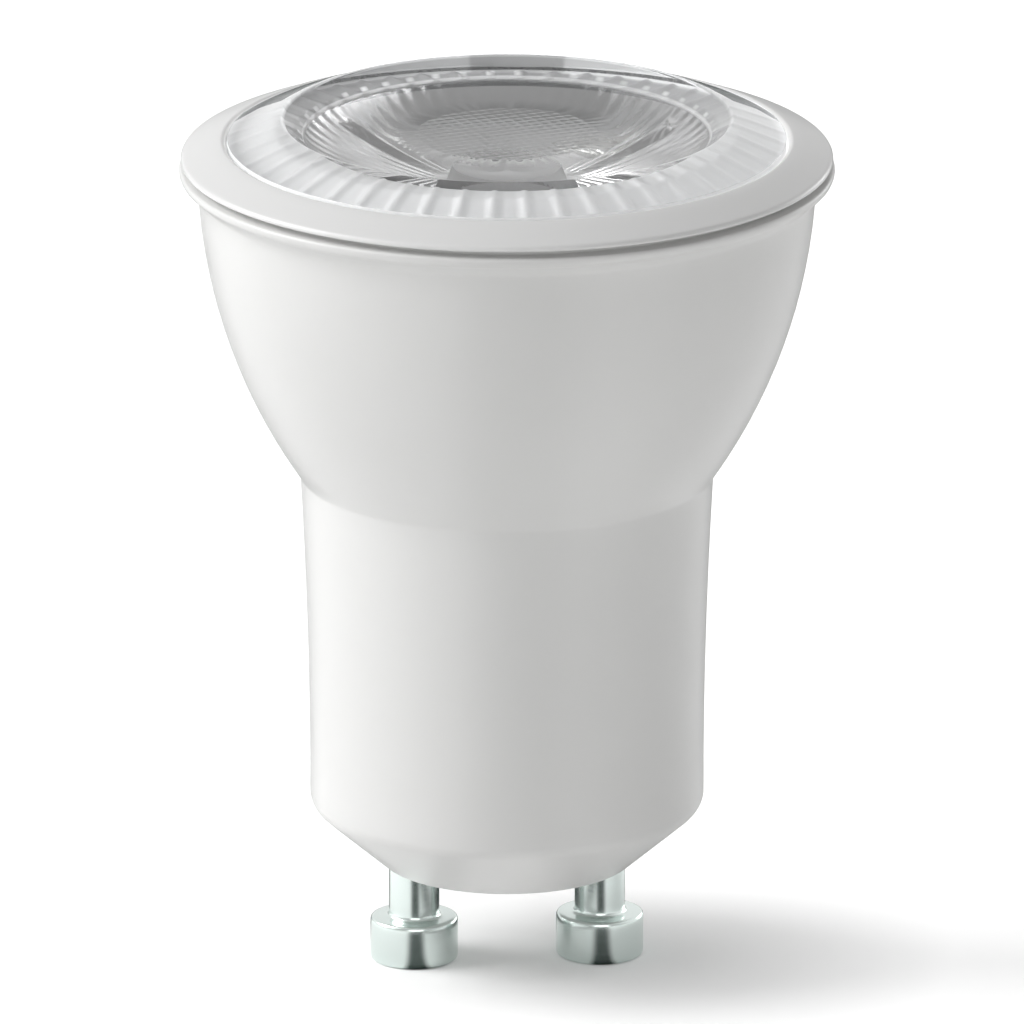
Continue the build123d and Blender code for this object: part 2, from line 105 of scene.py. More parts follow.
def share(name, default, about):
    """A number from 0 to 1."""
    return FloatProperty(name=name, description=about, default=default, min=0.0, max=1.0, subtype="FACTOR")


def colour(name, default, about):
    """A linear colour."""
    return FloatVectorProperty(
        name=name, description=about, default=default, size=3, min=0.0, max=1.0, subtype="COLOR"
    )


def degrees(name, default, about):
    """An angle in radians whose default is given in degrees."""
    return FloatProperty(name=name, description=about, default=math.radians(default), subtype="ANGLE")


def whole(name, default, least, about):
    """A whole number that isn't below the least."""
    return IntProperty(name=name, description=about, default=default, min=least)


def brightness(name, default, about):
    """A lamp's strength, of which 1 lights a facing white card to white."""
    return FloatProperty(name=name, description=about, default=default, min=0.0)


class ShellSizes(bpy.types.PropertyGroup):
    """Sizes of the white shell and its bezel ring."""

    base_z: length("Base height", 5.55, "Height of the base face above the pin ends")
    base_r: length("Base radius", 6.7, "Radius of the flat base face")
    neck_foot_r: length("Neck foot radius", 10.55, "Radius where the base cone meets the neck")
    neck_foot_z: length("Neck foot height", 8.873, "Height where the base cone meets the neck")
    neck_round: length("Neck foot round", 1.1, "Round between the base cone and the neck")
    neck_top_r: length("Neck top radius", 11.05, "Radius at the crease under the bowl")
    neck_top_z: length("Neck top height", 27.2, "Height of the crease under the bowl")
    neck_hollow: length("Neck hollow", 0.14, "How far the neck's side bows inwards")
    bowl_top_r: length("Bowl top radius", 16.48, "Radius of the bowl under its rim")
    bowl_top_z: length("Bowl top height", 43.0, "Height of the bowl under its rim")
    bowl_swell: length("Bowl swell", 1.17, "How far the bowl's side bows outwards")
    rim_r: length("Rim radius", 17.5, "Largest radius of the rim")
    rim_bead: length("Rim bead", 0.45, "How far the rim's edge is rounded out")
    rim_low_z: length("Rim lower height", 43.6, "Height where the rim's edge starts")
    groove_z: length("Groove height", 44.26, "Height of the groove's lower side, under the bezel's edge")
    groove_r: length("Groove radius", 16.65, "Radius that the groove reaches in to")
    ledge_z: length("Ledge height", 43.6, "Height of the ledge inside the rim")
    parting_z: length("Parting height", 44.5, "Height of the joint between shell and bezel")
    wall: length("Wall", 1.5, "Thickness of the shell")
    floor_t: length("Floor", 2.0, "Thickness of the base")
    recess_r: length("Recess radius", 16.3, "Radius of the recess that takes the bezel's skirt")
    edge: length("Edge softness", 0.2, "How far sharp moulded edges are softened")
    bezel_top_z: length("Bezel top height", 45.8, "Height of the bezel's inner edge")
    bezel_edge_z: length("Bezel edge height", 44.84, "Height of the bezel's outer edge")
    bezel_under_z: length("Bezel lower height", 44.6, "Height of the outer edge's lower side")
    bezel_inset: length("Bezel inset", 0.1, "How far the bezel's edge stands inside the rim")
    bezel_round: length("Bezel round", 0.24, "Round of the bezel's outer edge and of its lip")
    bezel_bore_r: length("Bezel bore radius", 15.0, "Radius of the bezel's opening")
    skirt_r: length("Skirt radius", 16.2, "Outer radius of the bezel's skirt")
    skirt_wall: length("Skirt wall", 0.65, "Thickness of the bezel's skirt")
    skirt_low_z: length("Skirt foot height", 43.7, "Height of the skirt's lower edge")
    sides: whole("Sides", 224, 24, "Steps round a turned piece")


class LensSizes(bpy.types.PropertyGroup):
    """Sizes of the clear lens."""

    face_z: length("Face height", 46.0, "Height of the flat front face")
    face_r: length("Face radius", 10.9, "Radius of the flat front face")
    crest_r: length("Crest radius", 12.0, "Radius of the raised crest")
    crest_z: length("Crest height", 46.93, "Height of the crest before it is rounded")
    crest_round: length("Crest round", 0.3, "Round of the crest")
    ring_r: length("Ring radius", 14.9, "Outer radius of the sloping ring")
    ring_z: length("Ring foot height", 45.75, "Height of the ring's outer edge")
    flange_r: length("Flange radius", 15.45, "Radius of the flange under the bezel")
    flange_top_z: length("Flange top height", 45.1, "Upper face of the flange")
    seat_z: length("Seat height", 44.2, "Lower face of the flange")
    seat_r: length("Seat radius", 14.6, "Inner radius of the flange's seat")
    under_z: length("Underside height", 45.258, "Height of the underside below the crest")
    cone_top_r: length("Cone top radius", 11.0, "Radius of the collimator's upper end")
    cone_foot_r: length("Cone foot radius", 4.3, "Radius of the collimator's lower end")
    foot_z: length("Foot height", 34.6, "Height of the collimator's lower end")
    cone_swell: length("Cone swell", 1.05, "How far the collimator's side bows outwards")
    cavity_r: length("Cavity radius", 3.3, "Radius of the light cavity's mouth")
    cavity_top_r: length("Cavity top radius", 2.9, "Radius of the light cavity's roof")
    cavity_z: length("Cavity height", 39.0, "Height of the cavity roof's edge")
    cavity_bulge: length("Cavity bulge", 0.8, "How far the cavity's roof bulges down")
    rib_w: length("Rib groove width", 0.9, "Width of a groove under the ring")
    rib_h: length("Rib groove depth", 0.22, "Depth of a groove under the ring")
    rib_end: length("Rib end", 0.1, "Gap from the grooves to the cone's top, half that to the seat")
    ribs: whole("Ribs", 46, 3, "Grooves under the ring")
    gate: length("Gate flat", 15.2, "Distance of the trimmed gate's flat from the axis")
    gate_turn: degrees("Gate turn", -7, "Turn of the gate from the back")
    disc_r: length("Disc radius", 4.9, "Radius of the pillow disc in the middle")
    disc_step: length("Disc step", 0.05, "Width of the step from the disc to the plain face")
    pillow: length("Pillow pitch", 0.55, "Distance between the pillows of the disc")
    pillow_h: length("Pillow depth", 0.018, "Depth of the grooves between the pillows")
    pillow_turn: degrees("Pillow turn", 20, "Turn of the pillow rows")
    flutes: whole("Flutes", 72, 3, "Fine flutes round the collimator, in its finish")
    fins: whole("Fins", 3, 1, "Upright fins on the collimator")
    fin_w: length("Fin width", 1.1, "Thickness of a fin")
    fin_toe_r: length("Fin toe radius", 9.4, "Radius that a fin's foot reaches")
    fin_foot_z: length("Fin foot height", 34.4, "Height of the light board that the fins stand on")
    fin_turn: degrees("Fin turn", 24, "Direction of the first fin")
    milk_from_r: length("Milk inner radius", 10.7, "Radius where the milky part of the underside starts")
    milk_to_r: length("Milk outer radius", 14.9, "Radius where the milky part of the underside ends")
    milk_fade: length("Milk fade", 0.3, "Distance over which the underside turns milky")
    # Painted shade on the crest's inner slope, darker on the left: its fade, how much less there is on the
    # right, and how much colour it leaves.
    painted_shade_fade: length("Smoke fade", 0.12, "Distance over which the crest's inner slope turns smoky")
    painted_shade_swing: share("Smoke swing", 0.28, "How much less smoky that slope is on its right")
    painted_shade_tone: share("Smoke tone", 0.08, "How much of its colour a fully smoky slope keeps")
    dot_h: length("Dot length", 0.3, "How far up the slope the clear dot over each groove reaches")
    # Painted glow: emission that lights the flange, the trimmed gate, the ring's outer wall and the
    # underside near the seat, where the bezel shades them.
    glow: share("Glow", 0.35, "Light that the white rim lets into the flange")
    painted_glow_r: length("Glow radius", 14.0, "Radius where that light starts on the underside")
    painted_glow_fade: length("Glow fade", 0.5, "Distance over which that light grows")
    gate_painted_glow: share("Gate glow", 0.5, "Share of that light in the trimmed gate")
    wall_painted_glow: share("Wall glow", 0.1, "Share of that light in the ring's outer wall")
    ring_pale: share("Ring paleness", 0.55, "How pale the milky underside of the ring is")
    # The flange's paleness is painted light that lifts it and the ring's outer wall out of the bezel's
    # shade.
    flange_pale_painted_light: share("Flange paleness", 0.96, "How pale the milky side of the flange is")
    # The gate's lower paleness is painted shade, a darker bar.
    gate_pale_painted_shade: share("Gate paleness", 0.8, "How pale the trimmed gate is")
    cavity_milk: share("Cavity milkiness", 0.75, "How matt the light cavity is")
    # The cavity's nearly black matt part is painted shade that darkens the lens's middle.
    cavity_pale_painted_shade: share("Cavity paleness", 0.12, "How pale the matt part of the light cavity is")
    edge: length("Edge softness", 0.07, "How far the lens's edges are softened")
    sides: whole("Sides", 506, 96, "Steps round the lens")


class PinSizes(bpy.types.PropertyGroup):
    """Sizes of the two contact pins."""

    spacing: length("Spacing", 10.0, "Distance between the pins")
    head_r: length("Head radius", 2.35, "Radius of a pin's head")
    head_z: length("Head height", 2.4, "Height of a pin's head")
    stem_r: length("Stem radius", 1.35, "Radius of a pin's stem")
    boss_z: length("Boss height", 8.55, "Height of the boss that the collar sits on")
    collar_r: length("Collar radius", 1.9, "Radius of the peened collar")
    top_z: length("Top height", 9.05, "Height of the pin's upper end")
    bore_r: length("Bore radius", 0.5, "Radius of the bore for the lead")
    bore_z: length("Bore floor height", 7.05, "Height of the bore's floor")
    edge: length("Edge softness", 0.3, "How far the pin's edges are softened")
    sides: whole("Sides", 128, 24, "Steps round a pin")


class Colours(bpy.types.PropertyGroup):
    """Colours that a user would change."""

    shell: colour("Shell", (0.74, 0.74, 0.73), "White moulded shell")
    bezel: colour("Bezel", (0.76, 0.76, 0.755), "White bezel ring")
    lens: colour("Lens", (0.97, 0.975, 0.98), "Clear lens")
    milk: share("Milkiness", 0.85, "How milky the ribbed underside of the lens is")
    pin: colour("Pins", (0.69, 0.76, 0.735), "Plated contact pins")
    cup: colour("Cup", (0.42, 0.425, 0.43), "Aluminium cup")
    light_board: colour("Light board", (0.36, 0.36, 0.36), "Board under the lens")
    phosphor: colour("Phosphor", (0.86, 0.78, 0.5), "Cast dome of the light source")
    driver_board: colour("Driver board", (0.02, 0.13, 0.055), "Green driver board")


class StageSettings(bpy.types.PropertyGroup):
    """Camera, floor and lamps."""

    azimuth: degrees("Azimuth", -4.6, "Camera's direction")
    elevation: degrees("Elevation", 17.2, "Camera's height angle")
    distance: length("Distance", 1500.0, "Camera's distance")
    lens: FloatProperty(name="Lens", description="Focal length", default=986.0, unit="CAMERA")
    aim_z: length("Aim height", 24.9, "Height on the bulb's axis at the picture's middle")
    aside: length("Aside", 0.27, "How far the camera stands to its right")
    floor_r: length("Floor radius", 4000.0, "Radius of the floor")
    floor_t: length("Floor thickness", 2.0, "Thickness of the floor")
    floor: colour("Floor", (0.95, 0.95, 0.95), "Pale floor")
    floor_glow: share("Floor glow", 0.58, "How much the floor is lifted towards white in the picture")
    # The floor's lift fades in between these radii, a painted shadow under the bulb.
    floor_near: length("Floor near radius", 4.0, "Radius inside which the floor isn't lifted")
    floor_far: length("Floor far radius", 24.0, "Radius outside which the floor is fully lifted")
    card: colour("Dark cards", (0.06, 0.075, 0.07), "Floor cards that polished metal reflects")
    card_x: length("Card place", 5.0, "Distance of the dark cards' middle lines from the axis")
    card_front: share("Front card spread", 0.4, "Half width of the front cards over their distance")
    card_back: share("Back card spread", 0.9, "Half width of the back cards over their distance")
    front_dim: share("Front dimming", 0.8, "How much darker metal and glass see the studio's front")
    ambient: share("Ambient", 0.2, "Strength of the even light from all round")
    key: brightness("Key lamp", 1.05, "Strength of the left lamp")
    front: brightness("Front lamp", 0.32, "Strength of the low front lamp")
    fill: brightness("Fill lamp", 0.35, "Strength of the right lamp")


def bowed(start, end, swell, count):
    """Points on an arc between two outline points.

    The point at share t of the chord stands out from it by the circle's height there, with its
    centre on the chord's middle line and the swell as its height over the chord's middle.
    """
    start, end = np.array(start), np.array(end)
    chord = end - start
    half = np.hypot(*chord) / 2
    outward = np.array([chord[1], -chord[0]]) / (2 * half)
    radius = (half**2 + swell**2) / (2 * abs(swell))
    reach = math.asin(half / radius)
    angle = np.linspace(-reach, reach, count)[:, None]
    along = chord / (2 * half) * radius * np.sin(angle)
    out = outward * math.copysign(1, swell) * (radius * np.cos(angle) - (radius - abs(swell)))
    return (start + end) / 2 + along + out


def corner(before, point, after, radius, count=12):
    """Points on the arc that rounds one corner of an outline, tangent to both its sides."""
    point = np.array(point)
    back = np.array(before) - point
    ahead = np.array(after) - point
    back, ahead = back / np.hypot(*back), ahead / np.hypot(*ahead)
    half = math.acos(np.clip(back @ ahead, -1, 1)) / 2
    middle = back + ahead
    centre = point + middle / np.hypot(*middle) * radius / math.sin(half)
    first = point + back * radius / math.tan(half) - centre
    last = point + ahead * radius / math.tan(half) - centre
    sweep = math.pi - 2 * half
    t = np.linspace(0, 1, count)[:, None]
    return centre + (first * np.sin((1 - t) * sweep) + last * np.sin(t * sweep)) / math.sin(sweep)


def softened(points, edge, loop=False, turn=math.radians(9), stride=1.4 * MM):
    """An outline with soft corners and few points.

    The outline is cut into equal steps, and each point moves to the mean of those within the edge
    softness, twice. Points are then kept at equal sums of turning and length, so that they crowd
    where the outline bends. A loop is joined end to end.
    """
    points = np.vstack([np.atleast_2d(p) for p in points])
    if loop:
        points = np.vstack([points, points[:1]])
    run = np.r_[0, np.cumsum(np.hypot(*np.diff(points, axis=0).T))]
    count = int(run[-1] / (edge / 8))
    even = np.linspace(0, run[-1], count, endpoint=not loop)
    fine = np.column_stack([np.interp(even, run, column) for column in points.T])
    width = 5
    for _ in range(2):
        if loop:
            padded = np.vstack([fine[-width:], fine, fine[:width]])
        else:
            before = 2 * fine[0] - fine[width:0:-1]
            after = 2 * fine[-1] - fine[-2 : -width - 2 : -1]
            padded = np.vstack([before, fine, after])
        total = np.cumsum(np.vstack([np.zeros((1, 2)), padded]), axis=0)
        fine = (total[2 * width + 1 :] - total[: -2 * width - 1]) / (2 * width + 1)
    if loop:
        fine = np.vstack([fine, fine[:1]])
    step = np.diff(fine, axis=0)
    heading = np.unwrap(np.arctan2(step[:, 1], step[:, 0]))
    bend = np.abs(np.diff(heading, prepend=heading[0]))
    weight = np.r_[0, np.cumsum(bend / turn + np.hypot(*step.T) / stride)]
    kept = np.linspace(0, weight[-1], int(weight[-1]) + 1)
    chosen = np.column_stack([np.interp(kept, weight, column) for column in fine.T])
    return chosen[:-1] if loop else chosen


def turned(outline, sides, centre=(0.0, 0.0)):
    """Turn an outline of radius and height about an upright axis.

    At angle a the point is centre + (radius cos a, radius sin a, height). The result is a grid of
    outline points by angles.
    """
    angle = np.arange(sides) * 2 * math.pi / sides
    radius, height = outline[:, :1], outline[:, 1:]
    x = centre[0] + radius * np.cos(angle)
    y = centre[1] + radius * np.sin(angle)
    return np.stack([x, y, np.broadcast_to(height, x.shape)], axis=-1)


def polar(grid):
    """How far each point of a grid is from the axis, and its angle round it."""
    x, y = grid[..., 0], grid[..., 1]
    return np.hypot(x, y), np.arctan2(y, x)


def along_turned(grid, turn):
    """How far each point of a grid lies along two level lines, which are x and y turned by an angle."""
    cos, sin = math.cos(turn), math.sin(turn)
    x, y = grid[..., 0], grid[..., 1]
    return x * cos + y * sin, y * cos - x * sin


def faded_band(values, low, high, fade):
    """One between two bounds, falling to nought at each over the fade's width."""
    return np.clip((values - low) / fade, 0, 1) * np.clip((high - values) / fade, 0, 1)


def grid_faces(rows, columns, loop):
    """Corner numbers of a grid's four-sided faces. Its rows are closed, and a loop's columns too."""
    last = rows if loop else rows - 1
    row = np.arange(last)[:, None]
    column = np.arange(columns)[None, :]
    beside = (column + 1) % columns
    above = (row + 1) % rows
    low, high = row * columns, above * columns
    return np.stack([low + column, low + beside, high + beside, high + column], axis=-1).reshape(-1, 4)


def piece(name, grid, material, loop=False, crease=math.radians(35), attributes=None):
    """Make a mesh object from a grid of points by angles.

    A grid that isn't a loop starts and ends on the axis, where its first and last rows become one
    point each, with three-sided faces round it. Faces whose corners follow up the outline and then
    round the axis point outwards when the outline runs with the solid on its left.
    """
    rows, columns = grid.shape[:2]
    quads = grid_faces(rows, columns, loop)
    points = grid.reshape(-1, 3)
    faces = quads.tolist()
    if not loop:
        column = np.arange(columns)
        beside = (column + 1) % columns
        inner = quads[columns:-columns] - columns
        foot = (rows - 2) * columns
        first = np.column_stack([np.full(columns, foot), beside, column])
        low = (rows - 3) * columns
        last = np.column_stack([np.full(columns, foot + 1), low + column, low + beside])
        points = np.vstack([points[columns:-columns], grid[0].mean(axis=0), grid[-1].mean(axis=0)])
        faces = inner.tolist() + first.tolist() + last.tolist()
    mesh = bpy.data.meshes.new(name)
    mesh.from_pydata(points.tolist(), [], faces)
    for label, values in (attributes or {}).items():
        flat = values.ravel()
        if not loop:
            flat = np.r_[flat[columns:-columns], values[0].mean(), values[-1].mean()]
        layer = mesh.attributes.new(label, "FLOAT", "POINT")
        layer.data.foreach_set("value", flat.astype(np.float32))
    mesh.shade_smooth()
    mesh.set_sharp_from_angle(angle=crease)
    mesh.update()
    if mesh.validate():
        raise RuntimeError(f"{name} has faces that can't be drawn")
    made = bpy.data.objects.new(name, mesh)
    bpy.context.scene.collection.objects.link(made)
    made.data.materials.append(material)
    return made


class Wire:
    """A node's output socket, on which sums, products and powers add Math nodes."""

    def __init__(self, finish, socket):
        self.finish = finish
        self.socket = socket

    def maths(self, operation, *values):
        """Add one Math node."""
        inputs = dict(enumerate(values))
        return self.finish.node("ShaderNodeMath", {"operation": operation}, inputs)

    def __add__(self, other):
        return self.maths("ADD", self, other)

    def __radd__(self, other):
        return self.maths("ADD", other, self)

    def __sub__(self, other):
        return self.maths("SUBTRACT", self, other)

    def __rsub__(self, other):
        return self.maths("SUBTRACT", other, self)

    def __mul__(self, other):
        return self.maths("MULTIPLY", self, other)

    def __rmul__(self, other):
        return self.maths("MULTIPLY", other, self)

    def __truediv__(self, other):
        return self.maths("DIVIDE", self, other)

    def __rtruediv__(self, other):
        return self.maths("DIVIDE", other, self)

    def __pow__(self, other):
        return self.maths("POWER", self, other)

    def __abs__(self):
        return self.maths("ABSOLUTE", self)

    def __gt__(self, other):
        return self.maths("GREATER_THAN", self, other)

    def __lt__(self, other):
        return self.maths("LESS_THAN", self, other)

    def wave(self):
        """The sine of this value."""
        return self.maths("SINE", self)

    def fraction(self):
        """The part of this value after the point."""
        return self.maths("FRACT", self)

    def clamped(self):
        """This value kept between 0 and 1."""
        return self.finish.node("ShaderNodeClamp", {}, {0: self})


class Finish:
    """A node tree that is filled by one method, for a material or the world."""

    def __init__(self, name, world=None):
        self.material = world or bpy.data.materials.new(name)
        self.material.use_nodes = True
        self.tree = self.material.node_tree
        self.tree.nodes.clear()

    def node(self, kind, settings, inputs, out=0):
        """Add a node by its type, its settings, then the values or wires of its sockets."""
        made = self.tree.nodes.new(kind)
        for name, value in settings.items():
            setattr(made, name, value)
        for name, value in inputs.items():
            if isinstance(value, Wire):
                self.tree.links.new(value.socket, made.inputs[name])
            elif made.inputs[name].type == "RGBA" and len(value) == 3:
                made.inputs[name].default_value = (*value, 1.0)
            else:
                made.inputs[name].default_value = value
        return Wire(self, made.outputs[out]) if made.outputs else made

    def place(self, scale=(1.0, 1.0, 1.0)):
        """The piece's own coordinates in metres, scaled."""
        here = self.node("ShaderNodeTexCoord", {}, {}, "Object")
        return self.node("ShaderNodeMapping", {}, {"Vector": here, "Scale": scale})

    def outputs(self, kind, inputs):
        """All the outputs of a new node, by their names."""
        made = self.node(kind, {}, inputs).socket.node
        return {socket.name: Wire(self, socket) for socket in made.outputs}

    def axes(self):
        """The three coordinates of the piece as separate values."""
        here = self.node("ShaderNodeTexCoord", {}, {}, "Object")
        return list(self.outputs("ShaderNodeSeparateXYZ", {"Vector": here}).values())

    def layer(self, name):
        """A number that the mesh holds for each of its points."""
        return self.node("ShaderNodeAttribute", {"attribute_name": name}, {}, "Fac")

    def noise(self, scale, detail=2.0, vector=None):
        """Soft noise from 0 to 1, with features of one over the scale."""
        inputs = {"Vector": vector or self.place(), "Scale": scale, "Detail": detail}
        return self.node("ShaderNodeTexNoise", {}, inputs)

    def blend(self, factor, low, high):
        """A mix of two colours."""
        return self.node("ShaderNodeMix", {"data_type": "RGBA"}, {0: factor, 6: low, 7: high}, 2)

    def bump(self, height, strength, distance):
        """A surface normal raised by a height."""
        inputs = {"Height": height, "Strength": strength, "Distance": distance}
        return self.node("ShaderNodeBump", {}, inputs)

    def principled(self, inputs):
        """The main surface shader."""
        return self.node("ShaderNodeBsdfPrincipled", {}, inputs)

    def done(self, shader):
        """Send a shader to the output and give back the material."""
        lights = isinstance(self.material, bpy.types.World)
        kind = "ShaderNodeOutputWorld" if lights else "ShaderNodeOutputMaterial"
        self.node(kind, {}, {"Surface": shader})
        return self.material

    def surface(self, inputs):
        """Give back the material with the main surface shader alone."""
        return self.done(self.principled(inputs))


def toned(tone, factor):
    """A colour made lighter or darker."""
    return tuple(min(1.0, part * factor) for part in tone)


def moulded(name, tone, roughness=0.4, spread=0.03, grain=5200.0, relief=0.015, coat=0.0):
    """Moulded plastic: a colour that drifts slightly, a fine grain and uneven gloss."""
    finish = Finish(name)
    drift = finish.noise(140.0, 3.0)
    grain_noise = finish.noise(grain, 3.0)
    base = finish.blend(drift, toned(tone, 1 - spread), toned(tone, 1 + spread))
    gloss = roughness - 0.06 + 0.12 * finish.noise(420.0, 4.0)
    return finish.surface(
        {
            "Base Color": base,
            "Roughness": gloss,
            "IOR": 1.5,
            "Coat Weight": coat,
            "Normal": finish.bump(grain_noise, relief, 0.05 * MM),
        }
    )


def metal(name, tone, roughness, lines, relief):
    """Plated or drawn metal: a tone that drifts, tool lines round the axis and uneven polish."""
    finish = Finish(name)
    across = finish.noise(lines, 2.0, finish.place((0.02, 0.02, 1.0)))
    drift = finish.noise(260.0, 3.0)
    return finish.surface(
        {
            "Base Color": finish.blend(drift, toned(tone, 0.94), toned(tone, 1.06)),
            "Metallic": 1.0,
            "Roughness": roughness * (0.75 + 0.5 * across),
            "Normal": finish.bump(across, relief, 0.02 * MM),
        }
    )


def lens_clear(name, tone, milk, s):
    """Clear moulded acrylic: smooth faces, a milky ribbed underside, and a way through for lamp light.

    The mesh's layers say where it is frosted and milky, and how pale its milky parts are, partly as
    painted light and shade. They also say where painted shade darkens the crest's slope and where a
    painted glow lights the lens. Over each groove a soft dot of that slope is left out of the painted
    shade: the product of a sine of the angle, a ramp of the radius and noise.
    """
    finish = Finish(name)
    frost = finish.layer("frost")
    ripple = finish.noise(380.0, 2.0)
    grain = finish.noise(6200.0, 2.0)
    x, y, _ = finish.axes()
    turn = y.maths("ARCTAN2", y, x)
    flutes = (turn * float(s.flutes)).wave()
    cone = 1.0 - abs(2.0 * frost - 1.0)
    across = ((turn * float(s.ribs) - math.pi / 2).wave() * DOT_SHARP - (DOT_SHARP - 1)).clamped()
    off = (x**2 + y**2) ** 0.5 - (s.face_r + s.dot_h / 2)
    along = (DOT_SHARP - abs(off) / (DOT_FADE * s.dot_h)).clamped()
    dots = across * along * (DOT_PATCHY * ripple - DOT_MISSING).clamped()
    # Painted shade on the crest's inner slope, with clear gaps over the grooves.
    painted_shade = finish.layer("painted_shade") * (1.0 - dots)
    relief = 0.05 * ripple + 0.012 * grain * frost + 0.3 * flutes * cone
    clear = finish.principled(
        {
            "Base Color": finish.blend(painted_shade, tone, toned(tone, s.painted_shade_tone)),
            "Roughness": 0.012 + 0.02 * ripple + 0.24 * frost,
            "IOR": LENS_IOR,
            "Transmission Weight": 1.0,
            "Normal": finish.bump(relief, 1.0, 0.05 * MM),
        }
    )
    # The milky parts' paleness holds painted light and shade, and their emission is a painted glow.
    milky = finish.principled(
        {
            "Base Color": finish.blend(finish.layer("pale"), BLACK, tone),
            "Roughness": 0.45 + 0.1 * grain,
            "IOR": LENS_IOR,
            "Emission Color": finish.blend(finish.layer("lit"), BLACK, tone),
            "Emission Strength": s.glow,
        }
    )
    body = finish.node("ShaderNodeMixShader", {}, {0: finish.layer("milk") * milk, 1: clear, 2: milky})
    passed = finish.node("ShaderNodeBsdfTransparent", {}, {"Color": (0.9, 0.9, 0.9)})
    lamp = finish.node("ShaderNodeLightPath", {}, {}, "Is Shadow Ray")
    return finish.done(finish.node("ShaderNodeMixShader", {}, {0: lamp, 1: body, 2: passed}))


def board_finish(name, mask, copper, pitch):
    """A circuit board: solder mask over raised tracks, with glass weave and small bare vias."""
    finish = Finish(name)
    x, y, z = finish.axes()
    tracks = {
        "Vector": finish.place(),
        "Color1": WHITE,
        "Color2": (0.55, 0.55, 0.55),
        "Mortar": BLACK,
        "Scale": 1 / pitch,
        "Mortar Size": 0.06,
        "Brick Width": 1.7,
        "Row Height": 0.8,
    }
    cell = finish.node("ShaderNodeTexBrick", {"offset": 0.5}, tracks)
    threads = (x * WEAVE_TURN).wave() + (z * WEAVE_TURN).wave() + (y * WEAVE_TURN).wave()
    weave = threads * 0.16 + 0.5
    spots = {"Vector": finish.place(), "Scale": 0.8 / pitch}
    vias = finish.node("ShaderNodeTexVoronoi", {}, spots) < VIA_RADIUS
    coloured = finish.blend(cell, toned(mask, 0.82), toned(mask, 1.08))
    return finish.surface(
        {
            "Base Color": finish.blend(vias, coloured, copper),
            "Metallic": vias * 0.9,
            "Roughness": 0.3 + 0.15 * weave,
            "Normal": finish.bump(weave * 0.3 + vias, 0.2, 0.03 * MM),
        }
    )


def banded(name, body, band, period, start, height, roughness=0.45):
    """Bands across the upright axis on a body: bright where the height falls in the band's share."""
    finish = Finish(name)
    z = finish.axes()[2]
    mask = ((z - start) / period).fraction() < height
    drift = finish.noise(500.0, 3.0)
    base = finish.blend(mask, body, band)
    return finish.surface(
        {
            "Base Color": finish.blend(drift * 0.12, base, toned(body, 0.7)),
            "Roughness": roughness + 0.1 * drift,
            "Normal": finish.bump(drift, 0.05, 0.05 * MM),
        }
    )


def sleeve(name, tone, spread=0.1):
    """The soft sleeve of a lead."""
    return moulded(name, tone, roughness=0.45, spread=spread, grain=3000.0, relief=0.05)


def dress(node, material):
    """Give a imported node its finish."""
    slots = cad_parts[node].data.materials
    slots.clear()
    slots.append(material)


def stand_in(made, node):
    """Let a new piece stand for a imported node."""
    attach(made, BODY)
    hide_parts(node)


class BULB_OT_shell(bpy.types.Operator):
    """Build the white shell: base cone, neck, bowl and rim, with its hollow"""

    bl_idname = "bulb.shell"
    bl_label = "Shell"

    def execute(self, context):
        s = context.scene.bulb_shell
        hollow_z = s.base_z + s.floor_t
        base_edge = (s.base_r, s.base_z)
        foot = (s.neck_foot_r, s.neck_foot_z)
        top = (s.neck_top_r, s.neck_top_z)
        bowl = bowed(top, (s.bowl_top_r, s.bowl_top_z), s.bowl_swell, 40)
        bead_r = s.rim_r - s.rim_bead
        bead = bowed((bead_r, s.rim_low_z), (bead_r, s.parting_z), s.rim_bead, 25)
        inner = np.vstack([bowl, [(s.bowl_top_r, s.ledge_z)]]) - (s.wall, 0.0)
        outline = softened(
            [
                (0.0, s.base_z),
                base_edge,
                corner(base_edge, foot, top, s.neck_round),
                bowed(foot, top, -s.neck_hollow, 24)[2:],
                bowl[1:],
                (bead_r, s.rim_low_z),
                bead[bead[:, 1] < s.groove_z],
                (s.groove_r, s.groove_z),
                (s.groove_r, s.parting_z),
                (s.recess_r, s.parting_z),
                (s.recess_r, s.ledge_z),
                inner[::-1],
                (s.neck_foot_r - s.wall, s.neck_foot_z),
                (s.base_r + s.wall / 2, hollow_z),
                (0.0, hollow_z),
            ],
            s.edge,
        )
        tone = tuple(context.scene.bulb_colours.shell)
        white = moulded("white_shell", tone, roughness=0.36, spread=0.012)
        made = piece("housing_shell", turned(outline, s.sides), white)
        stand_in(made, "housing")
        return {"FINISHED"}


class BULB_OT_bezel(bpy.types.Operator):
    """Build the bezel ring, with its lip over the lens and its skirt in the shell"""

    bl_idname = "bulb.bezel"
    bl_label = "Bezel ring"

    def execute(self, context):
        s = context.scene.bulb_shell
        lens = context.scene.bulb_lens
        skirt_in = s.skirt_r - s.skirt_wall
        under = (s.rim_r - s.bezel_inset, s.bezel_under_z)
        edge = (s.rim_r - s.bezel_inset, s.bezel_edge_z)
        lip = (s.bezel_bore_r, s.bezel_top_z)
        bore = (s.bezel_bore_r, lens.flange_top_z)
        outline = softened(
            [
                (skirt_in, s.skirt_low_z),
                (s.skirt_r, s.skirt_low_z),
                (s.skirt_r, s.parting_z),
                (s.rim_r - s.rim_bead, s.parting_z),
                under,
                corner(under, edge, lip, s.bezel_round),
                corner(edge, lip, bore, s.bezel_round),
                bore,
                (skirt_in, lens.flange_top_z),
            ],
            s.edge / 2,
            loop=True,
        )
        tone = tuple(context.scene.bulb_colours.bezel)
        white = moulded("white_bezel", tone, roughness=0.32, spread=0.012)
        made = piece("bezel", turned(outline, s.sides), white, loop=True)
        stand_in(made, "bezel_ring")
        return {"FINISHED"}


